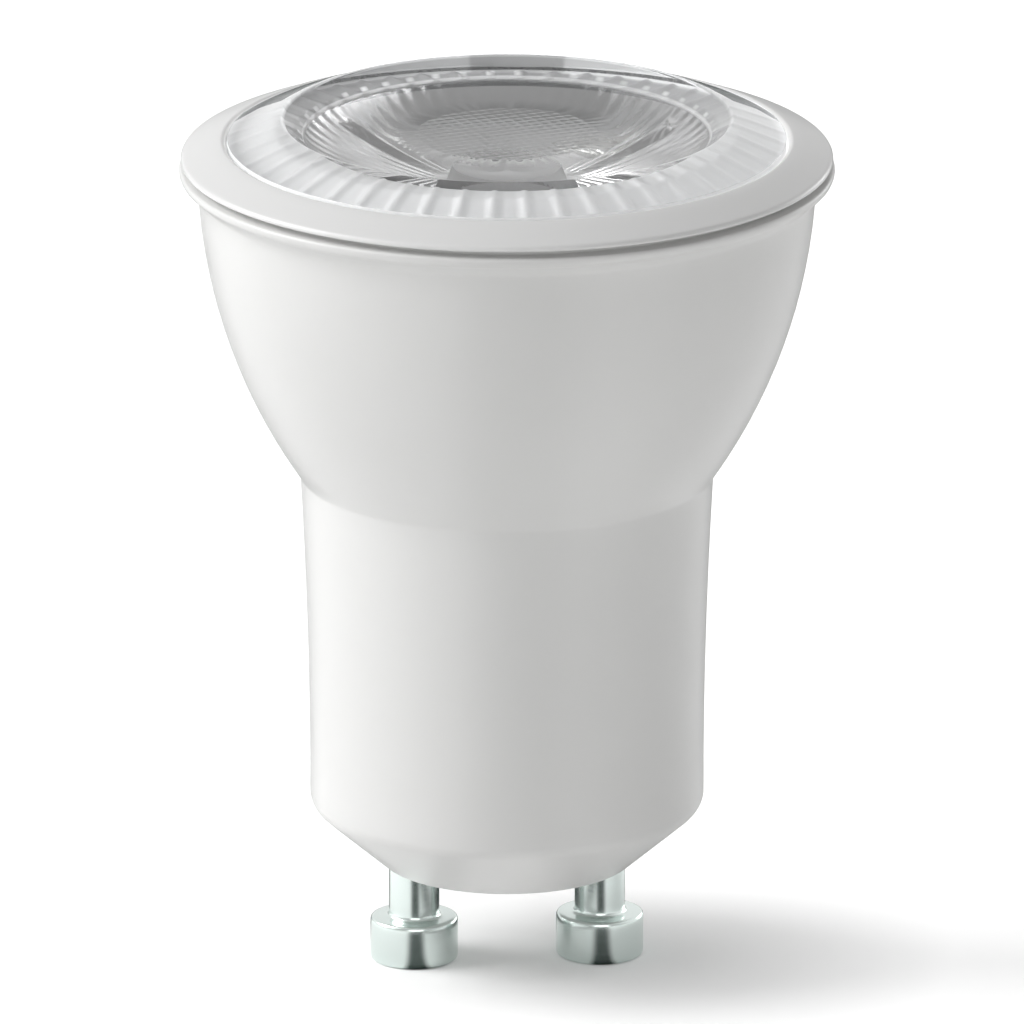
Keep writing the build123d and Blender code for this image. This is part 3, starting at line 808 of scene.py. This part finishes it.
class BULB_OT_lens(bpy.types.Operator):
    """Build the clear lens: pillow disc, crest, ribbed ring, finned collimator and light cavity"""

    bl_idname = "bulb.lens"
    bl_label = "Lens"

    def execute(self, context):
        s = context.scene.bulb_lens
        tones = context.scene.bulb_colours
        runs = self.half_section(s)
        ends = np.cumsum([len(run) for run in runs.values()])
        rows = {name: slice(end - len(runs[name]), end) for name, end in zip(runs, ends)}
        rows["ribbed"] = slice(rows["under"].start, rows["shelf"].stop)
        outline = np.vstack(list(runs.values()))
        grid = turned(outline, s.sides)
        self.raise_pillows(s, grid[rows["disc"]])
        self.cut_ribs(s, grid[rows["ribbed"]])
        trimmed = self.trim_gate(s, grid[rows["flange"]])
        self.grow_fins(s, grid[rows["cone"]])
        layers = self.finish_layers(s, outline, grid, rows, trimmed)
        clear = lens_clear("clear_lens", tuple(tones.lens), tones.milk, s)
        made = piece("lens_clear", grid[::-1], clear, attributes=layers)
        stand_in(made, "lens")
        return {"FINISHED"}

    def half_section(self, s):
        """The outline in named runs, from the face's middle round to the middle of the cavity's roof.

        The roof hangs down from its edge by its bulge times one less the square of the radius' share.
        """
        face_edge = (s.face_r, s.face_z)
        ring_edge = (s.ring_r, s.ring_z)
        top = softened(
            [
                (s.disc_r + s.disc_step, s.face_z),
                face_edge,
                corner(face_edge, (s.crest_r, s.crest_z), ring_edge, s.crest_round),
                ring_edge,
                (s.ring_r, s.flange_top_z),
            ],
            s.edge,
            turn=LENS_TURN,
        )
        flange = softened(
            [
                (s.ring_r + s.edge, s.flange_top_z),
                (s.flange_r, s.flange_top_z),
                (s.flange_r, s.seat_z),
                (s.seat_r + s.edge, s.seat_z),
            ],
            s.edge,
            turn=LENS_TURN,
            stride=0.15 * MM,
        )
        seat = (s.seat_r, s.seat_z)
        below_crest = (s.crest_r, s.under_z)
        cone_top = (s.cone_top_r, s.under_z)
        cone = bowed((s.cone_foot_r, s.foot_z), cone_top, s.cone_swell, CONE_ROWS)
        t = np.linspace(1, 0, ROOF_ROWS)
        roof_z = s.cavity_z - s.cavity_bulge * (1 - t**2)
        cavity = softened(
            [
                (s.cavity_r, s.foot_z),
                (s.cavity_top_r, s.cavity_z),
                np.column_stack([s.cavity_top_r * t, roof_z])[1:],
            ],
            s.edge,
            turn=LENS_TURN,
        )
        return {
            "disc": np.linspace((0.0, s.face_z), (s.disc_r, s.face_z), DISC_ROWS),
            "top": top,
            "flange": flange,
            "under": np.linspace(seat, below_crest, UNDER_ROWS)[1:],
            "shelf": np.linspace(below_crest, cone_top, SHELF_ROWS)[1:],
            "cone": cone[::-1][1:],
            "cavity": cavity,
        }

    def finish_layers(self, s, outline, grid, rows, trimmed):
        """How frosted, milky and pale each point is, and its painted shade and glow, with the rows in the
        mesh's order.
        """
        radius, height = outline[:, :1], outline[:, 1:]
        ribbed_r = radius[rows["ribbed"]]
        wall = ((np.abs(radius - s.ring_r) < s.edge) & (height < s.ring_z))[:, 0]
        layers = {label: np.zeros(grid.shape[:2]) for label in ("frost", "milk", "pale", "painted_shade", "lit")}
        frost, milk, pale, painted_shade, lit = layers.values()
        frost[rows["flange"]] = 1.0
        frost[rows["ribbed"]] = 1.0
        frost[rows["cone"]] = CONE_FROST
        frost[rows["cavity"]] = CAVITY_FROST
        milk[rows["flange"]] = 1.0
        milk[rows["ribbed"]] = faded_band(ribbed_r, s.milk_from_r, s.milk_to_r, s.milk_fade)
        milk[wall] = 1.0
        milk[rows["cavity"]] = s.cavity_milk
        pale[:] = s.ring_pale
        # The pale flange is painted light out of the bezel's shade; the darker gate is painted shade.
        pale[rows["flange"]] = np.where(trimmed, s.gate_pale_painted_shade, s.flange_pale_painted_light)
        # Painted shade: the cavity's matt part is nearly black.
        pale[rows["cavity"]] = s.cavity_pale_painted_shade
        # The ring's outer wall is made milky and pale as painted light.
        pale[wall] = s.flange_pale_painted_light
        # Painted shade on the crest's inner slope.
        painted_shade[rows["top"]] = self.painted_shade_on_slope(s, grid[rows["top"]])
        # Painted glow, where the bezel shades the ring wall, the flange, the gate and the underside near
        # the seat.
        lit[wall] = s.wall_painted_glow
        lit[rows["flange"]] = np.where(trimmed, s.gate_painted_glow, 1.0)
        lit[rows["ribbed"]] = np.clip((ribbed_r - s.painted_glow_r) / s.painted_glow_fade, 0, 1)
        return {label: values[::-1] for label, values in layers.items()}

    def raise_pillows(self, s, grid):
        """Sink the disc between its pillows, along turned rows.

        It sinks by the depth times one less the size of the product of two cosines.
        """
        u, v = along_turned(grid, s.pillow_turn)
        crown = np.abs(np.cos(math.pi * u / s.pillow) * np.cos(math.pi * v / s.pillow))
        grid[..., 2] -= s.pillow_h * (1 - crown)

    def cut_ribs(self, s, grid):
        """Lift the underside into grooves whose depth falls off evenly from their middle lines."""
        radius, angle = polar(grid)
        step = 2 * math.pi / s.ribs
        off = np.abs((angle / step) % 1 - 0.5) * step * radius
        slope = (s.under_z - s.seat_z) / (s.seat_r - s.crest_r)
        line = np.minimum(s.seat_z + (s.seat_r - radius) * slope, s.under_z)
        cut = line + s.rib_h * (1 - 2 * off / s.rib_w)
        between = (radius > s.cone_top_r + s.rib_end) & (radius < s.seat_r - s.rib_end / 2)
        inside = between & (off < s.rib_w / 2)
        grid[..., 2] = np.where(inside, np.maximum(grid[..., 2], cut), grid[..., 2])

    def painted_shade_on_slope(self, s, grid):
        """Painted shade on the crest's inner slope: it falls from left to right with the cosine of the
        angle.
        """
        radius, angle = polar(grid)
        painted_shade = 1 - s.painted_shade_swing * (1 + np.cos(angle)) / 2
        return painted_shade * faded_band(radius, s.face_r - s.painted_shade_fade / 2, s.crest_r, s.painted_shade_fade)

    def trim_gate(self, s, grid):
        """Move points beyond the gate's flat straight back onto it, and tell which are at the gate."""
        beside, behind = along_turned(grid, s.gate_turn)
        half_w = math.sqrt(s.flange_r**2 - s.gate**2)
        trimmed = (np.abs(beside) < half_w) & (behind > 0)
        flat = np.stack([beside, np.minimum(behind, s.gate)], axis=-1)
        grid[..., 0], grid[..., 1] = along_turned(flat, -s.gate_turn)
        return trimmed

    def grow_fins(self, s, grid):
        """Pull the cone out to each fin's edge, which is a line from its toe to the cone's top."""
        columns = grid.shape[1]
        cone_r = np.hypot(grid[:, :1, 0], grid[:, :1, 1])
        cone_z = grid[:, :1, 2]
        angle = np.arange(columns) * 2 * math.pi / columns
        step = 2 * math.pi / s.fins
        off = np.abs(((angle - s.fin_turn) / step + 0.5) % 1 - 0.5) * step
        up = np.clip((cone_z - s.foot_z) / (s.under_z - s.foot_z), 0, 1)
        edge_r = s.fin_toe_r + (s.cone_top_r - s.fin_w / 2 - s.fin_toe_r) * up
        fin_r = np.maximum(edge_r, cone_r)
        fin_z = np.where(up < TOE_SHARE, s.fin_foot_z, cone_z)
        inside = (off * fin_r < s.fin_w / 2) & (edge_r > cone_r)
        radius = np.where(inside, fin_r, cone_r)
        grid[..., 0] = radius * np.cos(angle)
        grid[..., 1] = radius * np.sin(angle)
        grid[..., 2] = np.where(inside, fin_z, cone_z)


class BULB_OT_pins(bpy.types.Operator):
    """Build the two turned contact pins"""

    bl_idname = "bulb.pins"
    bl_label = "Contact pins"

    def execute(self, context):
        s = context.scene.bulb_pins
        outline = softened(
            [
                (0.0, 0.0),
                (s.head_r, 0.0),
                (s.head_r, s.head_z),
                (s.stem_r, s.head_z),
                (s.stem_r, s.boss_z),
                (s.collar_r, s.boss_z),
                (s.collar_r, s.top_z),
                (s.bore_r, s.top_z),
                (s.bore_r, s.bore_z),
                (0.0, s.bore_z),
            ],
            s.edge,
            stride=0.6 * MM,
        )
        tone = tuple(context.scene.bulb_colours.pin)
        plated = metal("pin_metal", tone, roughness=0.24, lines=9000.0, relief=0.04)
        for side, where in ((-1, "left"), (1, "right")):
            grid = turned(outline, s.sides, (side * s.spacing / 2, 0.0))
            stand_in(piece(f"pin_{where}", grid, plated), f"contact_pin_{where}")
        return {"FINISHED"}


class BULB_OT_light_source(bpy.types.Operator):
    """Finish the cup, the light board and what stands on it"""

    bl_idname = "bulb.light_source"
    bl_label = "Light source"

    def execute(self, context):
        tones = context.scene.bulb_colours
        drawn = metal("cup_metal", tuple(tones.cup), roughness=0.42, lines=2600.0, relief=0.1)
        dress("heat_sink_cup", drawn)
        pad = moulded("pad_grey", (0.4, 0.42, 0.44), roughness=0.7, spread=0.08, grain=2600.0, relief=0.06)
        dress("thermal_pad", pad)
        board = board_finish("light_board_white", tuple(tones.light_board), TINNED, 3.1 * MM)
        dress("led_board", board)
        ceramic = moulded("package_ceramic", (0.8, 0.8, 0.78), roughness=0.5, grain=3800.0, relief=0.03)
        dress("led_package", ceramic)
        tone = tuple(tones.phosphor)
        cast = moulded("phosphor", tone, roughness=0.3, spread=0.06, grain=7000.0, relief=0.02, coat=0.4)
        dress("led_phosphor", cast)
        steel = metal("screw_steel", (0.62, 0.62, 0.6), roughness=0.28, lines=7000.0, relief=0.08)
        dress("board_screws", steel)
        dress("led_lead_positive", sleeve("lead_red", (0.5, 0.025, 0.02)))
        dress("led_lead_negative", sleeve("lead_black", (0.02, 0.02, 0.022), 0.2))
        return {"FINISHED"}


class BULB_OT_driver(bpy.types.Operator):
    """Finish the driver board, its parts and the mains leads"""

    bl_idname = "bulb.driver"
    bl_label = "Driver"

    def execute(self, context):
        tones = context.scene.bulb_colours
        board = board_finish("driver_board_green", tuple(tones.driver_board), (0.72, 0.6, 0.4), 1.9 * MM)
        dress("driver_board", board)
        navy = (0.03, 0.035, 0.05)
        can = banded("can_sleeve", navy, (0.6, 0.61, 0.62), period=14 * MM, start=14 * MM, height=0.08)
        dress("bulk_capacitor", can)
        dress("output_capacitor", can)
        grey = (0.06, 0.06, 0.065)
        dress("choke_core", moulded("ferrite", grey, roughness=0.7, spread=0.15, grain=2400.0, relief=0.12))
        copper, gaps = (0.5, 0.2, 0.08), (0.32, 0.11, 0.04)
        wound = banded("copper_wire", copper, gaps, period=0.22 * MM, start=0.0, height=0.35, roughness=0.3)
        dress("choke_winding", wound)
        fuse = moulded("resistor_body", (0.26, 0.4, 0.36), spread=0.08, grain=3000.0, relief=0.04)
        dress("fuse_resistor", fuse)
        black = (0.025, 0.025, 0.027)
        chip = moulded("chip_black", black, roughness=0.55, spread=0.2, grain=4200.0, relief=0.1)
        for node in ("bridge_rectifier", "driver_chip", "freewheel_diode"):
            dress(node, chip)
        dark, tan = (0.03, 0.03, 0.035), (0.42, 0.3, 0.18)
        film = banded("chip_resistor_body", dark, TINNED, period=2 * MM, start=26.9 * MM, height=0.2)
        dress("chip_resistors", film)
        stack = banded("chip_capacitor_body", tan, TINNED, period=3.2 * MM, start=16.4 * MM, height=0.12)
        dress("chip_capacitors", stack)
        dress("mains_lead_left", sleeve("lead_brown", (0.16, 0.07, 0.03)))
        dress("mains_lead_right", sleeve("lead_blue", (0.03, 0.1, 0.35)))
        return {"FINISHED"}


class BULB_OT_stage(bpy.types.Operator):
    """Set up the floor, the world, the lamps and the camera"""

    bl_idname = "bulb.stage"
    bl_label = "Stage"

    def execute(self, context):
        s = context.scene.bulb_stage
        self.lay_floor(s)
        self.light_world(context, s)
        middle = Vector((0.0, 0.0, s.aim_z))
        for name, (place, width) in LAMPS.items():
            self.hang_lamp(f"{name}_lamp", middle, place, width, getattr(s, name))
        self.stand_camera(context, s, middle)
        context.scene.view_settings.view_transform = "Standard"
        return {"FINISHED"}

    def lay_floor(self, s):
        """A flat disc: radius steps by angles, at the height of the pin ends."""
        top = np.linspace((s.floor_r, 0.0), (0.0, 0.0), FLOOR_ROWS)
        outline = np.vstack([[0.0, -s.floor_t], [s.floor_r, -s.floor_t], top])
        tone = tuple(s.floor)
        finish = Finish("floor_white")
        ray = finish.outputs("ShaderNodeLightPath", {})
        x, y, _ = finish.axes()
        card = self.dark_cards(s, x, y) * ray["Is Glossy Ray"]
        base = finish.blend(finish.noise(90.0), toned(tone, 0.995), toned(tone, 1.005))
        # Painted shadow: the lift fades out near the bulb, so the floor under it stays darker.
        away = ((x**2 + y**2) ** 0.5 - s.floor_near) / (s.floor_far - s.floor_near)
        lift = self.seen(ray) * away.clamped() * (1.0 - card) * s.floor_glow
        white = finish.surface(
            {
                "Base Color": finish.blend(card, base, tuple(s.card)),
                "Roughness": 1.0,
                "Specular IOR Level": 0.0,
                "Emission Color": finish.blend(lift, BLACK, WHITE),
                "Emission Strength": 1.0,
            }
        )
        piece("floor", turned(outline, FLOOR_SIDES), white)

    def dark_cards(self, s, x, y):
        """Wedges of floor before and behind each pin, as dark cards that only polished metal shows.

        A wedge is full where the distance from the pin's line, over that from the pins, is under half
        its spread, and falls to nought at the spread.
        """
        spread = abs(abs(x) - s.card_x) / abs(y)
        front = ((s.card_front - spread) / (0.5 * s.card_front)).clamped() * (y < 0.0)
        back = ((s.card_back - spread) / (0.5 * s.card_back)).clamped() * (y > 0.0)
        return front + back

    def seen(self, ray):
        """One for rays from the camera and for those that metal and glass send on, otherwise nought."""
        return (ray["Is Camera Ray"] + ray["Is Glossy Ray"] + ray["Is Transmission Ray"]).clamped()

    def light_world(self, context, s):
        """White where it is seen, darker behind the camera, and an even grey as light."""
        world = bpy.data.worlds.new("studio")
        context.scene.world = world
        finish = Finish("studio", world)
        sight = self.seen(finish.outputs("ShaderNodeLightPath", {}))
        front = ((finish.axes()[1] + FRONT_FROM) / (FRONT_FROM - FRONT_FULL)).clamped()
        strength = s.ambient + (1.0 - s.ambient) * sight * (1.0 - s.front_dim * front)
        finish.done(finish.node("ShaderNodeBackground", {}, {"Color": WHITE, "Strength": strength}))

    def hang_lamp(self, name, middle, place, width, power):
        """A square soft lamp that faces the bulb, with the power that gives its strength there."""
        away = Vector(place)
        lamp = bpy.data.lights.new(name, "AREA")
        lamp.shape = "SQUARE"
        lamp.size = width
        lamp.energy = power * math.pi**2 * away.length_squared
        hung = bpy.data.objects.new(name, lamp)
        hung.location = middle + away
        hung.rotation_euler = (-away).to_track_quat("-Z", "Y").to_euler()
        bpy.context.scene.collection.objects.link(hung)

    def stand_camera(self, context, s, middle):
        """A long lens at the photograph's angle, with the bulb's axis near the picture's middle."""
        back = Vector(
            (
                math.sin(s.azimuth) * math.cos(s.elevation),
                -math.cos(s.azimuth) * math.cos(s.elevation),
                math.sin(s.elevation),
            )
        )
        right = Vector((math.cos(s.azimuth), math.sin(s.azimuth), 0.0))
        view = bpy.data.cameras.new("camera")
        view.lens = s.lens
        view.sensor_width = 36.0
        view.clip_start = 0.01
        view.clip_end = 20.0
        camera = bpy.data.objects.new("camera", view)
        camera.location = middle + back * s.distance + right * s.aside
        camera.rotation_euler = (-back).to_track_quat("-Z", "Y").to_euler()
        context.scene.collection.objects.link(camera)
        context.scene.camera = camera


OPERATORS = (
    BULB_OT_shell,
    BULB_OT_bezel,
    BULB_OT_lens,
    BULB_OT_pins,
    BULB_OT_light_source,
    BULB_OT_driver,
    BULB_OT_stage,
)


class BULB_PT_panel(bpy.types.Panel):
    """Lists the bulb's pieces in the sidebar."""

    bl_idname = "BULB_PT_panel"
    bl_label = "Spot Bulb"
    bl_space_type = "VIEW_3D"
    bl_region_type = "UI"
    bl_category = "Spot Bulb"

    def draw(self, context):
        for operator in OPERATORS:
            self.layout.operator(operator.bl_idname)


GROUPS = {
    "bulb_shell": ShellSizes,
    "bulb_lens": LensSizes,
    "bulb_pins": PinSizes,
    "bulb_colours": Colours,
    "bulb_stage": StageSettings,
}


def register():
    """Add the classes to Blender and the sizes to its scenes."""
    for group in (*GROUPS.values(), *OPERATORS, BULB_PT_panel):
        bpy.utils.register_class(group)
    for name, group in GROUPS.items():
        setattr(bpy.types.Scene, name, PointerProperty(type=group))


def unregister():
    """Take the classes and the sizes away again."""
    for name in GROUPS:
        delattr(bpy.types.Scene, name)
    for group in (BULB_PT_panel, *OPERATORS, *GROUPS.values()):
        bpy.utils.unregister_class(group)


def main():
    """Build every piece in order."""
    register()
    bpy.ops.bulb.shell()
    bpy.ops.bulb.bezel()
    bpy.ops.bulb.lens()
    bpy.ops.bulb.pins()
    bpy.ops.bulb.light_source()
    bpy.ops.bulb.driver()
    bpy.ops.bulb.stage()


if __name__ == "__main__":
    main()
